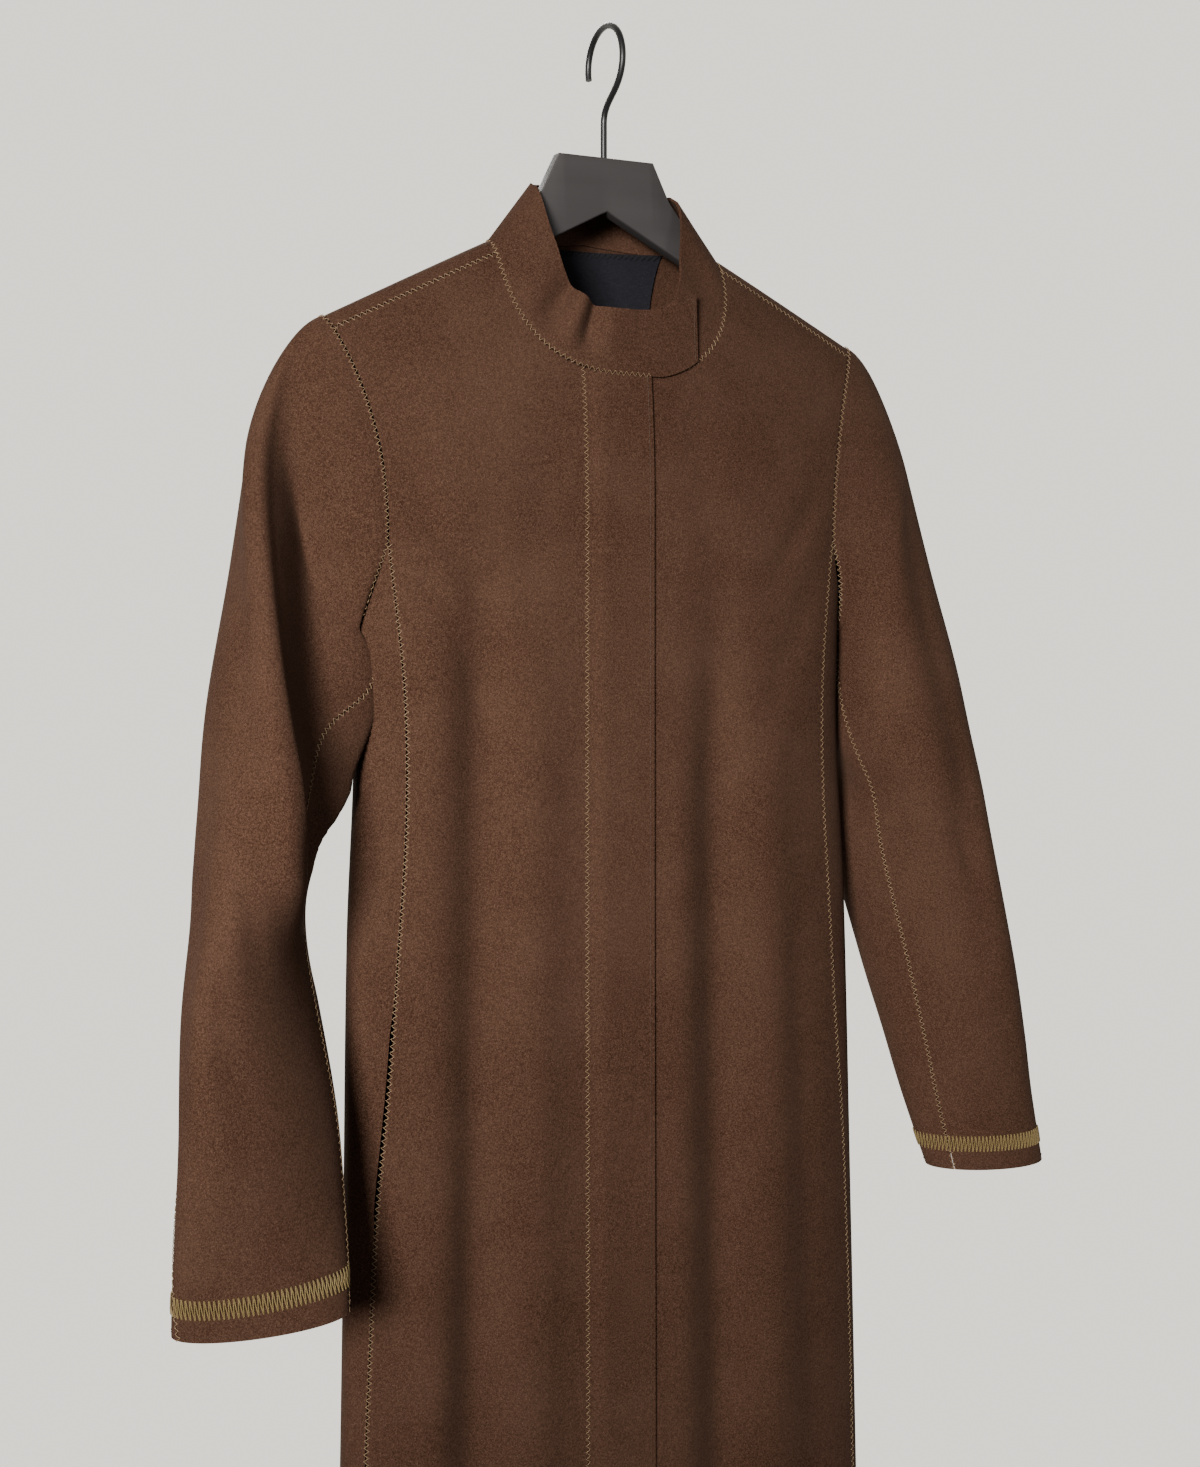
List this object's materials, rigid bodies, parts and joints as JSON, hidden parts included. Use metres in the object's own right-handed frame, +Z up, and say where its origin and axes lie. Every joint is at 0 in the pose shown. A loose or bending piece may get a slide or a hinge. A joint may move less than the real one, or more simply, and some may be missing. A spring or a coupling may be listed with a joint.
{
  "type": "riding coat on a clothes hanger",
  "caption": "Long slim brown felted-wool riding coat with a stand collar, fly front and two-piece sleeves, hanging open-hemmed on a flat black wooden hanger with a wire hook.",
  "frame": {"origin": "The top of the inside of the hanger's hook, where it rests on a rail, on the coat's centre line.", "axes": "+Z up, the coat hangs down along -Z; the front faces -Y; +X is the wearer's left."},
  "size_m": [0.6452, 0.15, 1.2444],
  "materials": {
    "wool": "matte felted wool with a short nap",
    "pocket_cloth": "matte plain weave",
    "label_cloth": "smooth dark weave, bare",
    "hanger_wood": "black satin lacquer",
    "hook_wire": "black satin"
  },
  "bodies": {
    "root": {"front_right": "wool", "placket": "wool", "front_left": "wool", "side_right": "wool", "side_left": "wool", "back": "wool", "sleeve_upper_right": "wool", "sleeve_under_right": "wool", "sleeve_upper_left": "wool", "sleeve_under_left": "wool", "collar": "wool", "pocket_bag_right": "pocket_cloth", "pocket_bag_left": "pocket_cloth", "label": "label_cloth", "hanger_board": "hanger_wood", "hanger_hook": "hook_wire"}
  },
  "joints": []
}
